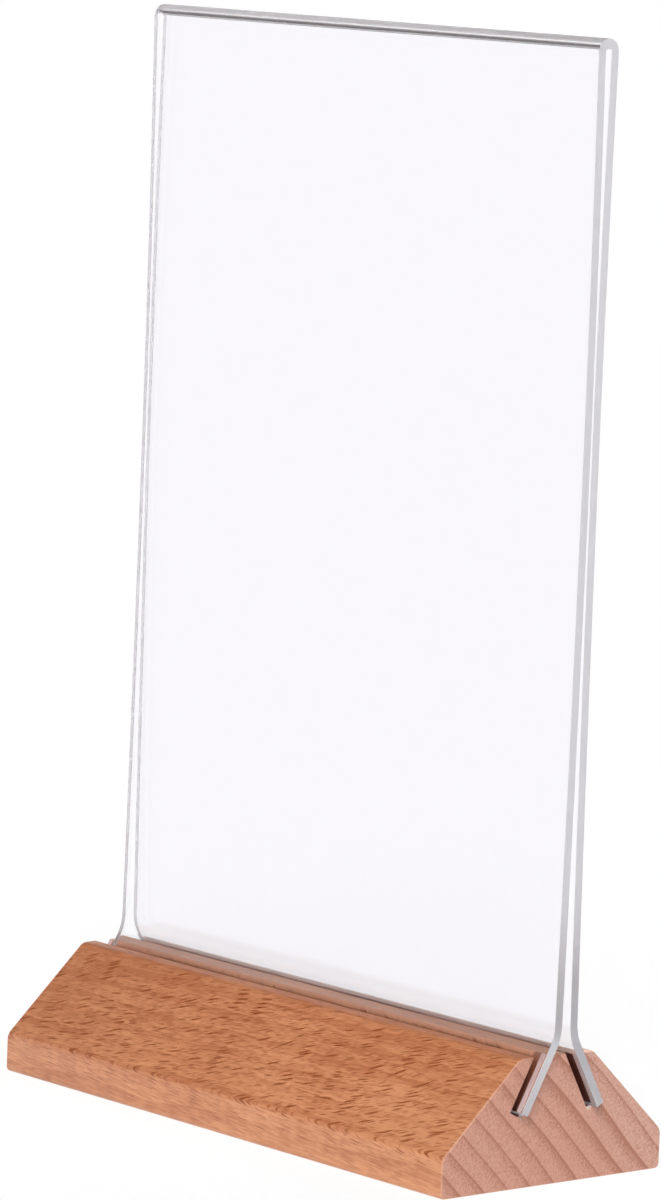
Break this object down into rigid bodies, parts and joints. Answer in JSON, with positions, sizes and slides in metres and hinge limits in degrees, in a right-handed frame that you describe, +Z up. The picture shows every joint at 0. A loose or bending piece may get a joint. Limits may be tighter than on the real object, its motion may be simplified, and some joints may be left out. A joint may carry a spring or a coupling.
{
  "type": "acrylic sign holder",
  "caption": "Counter-top sign holder: a clear acrylic sheet folded into a hairpin sleeve for an upright print, its flared feet slotted into a bevelled solid wooden base.",
  "frame": {"origin": "middle of the base's underside", "axes": "+X along the base, towards the end that the sleeve overhangs; +Y to the rear; +Z up"},
  "size_m": [0.1519, 0.0616, 0.24],
  "materials": {
    "beech": "sanded, thin satin oil",
    "clear_acrylic": "clear, polished faces and edges"
  },
  "bodies": {
    "base": {"beech_base": "beech"},
    "sleeve": {"acrylic_sleeve": "clear_acrylic"}
  },
  "joints": [
    {"name": "sleeve_slide", "type": "slide", "parent": "base", "child": "sleeve", "axis": [1, 0, 0], "range_m": [-0.155, 0.15]}
  ]
}
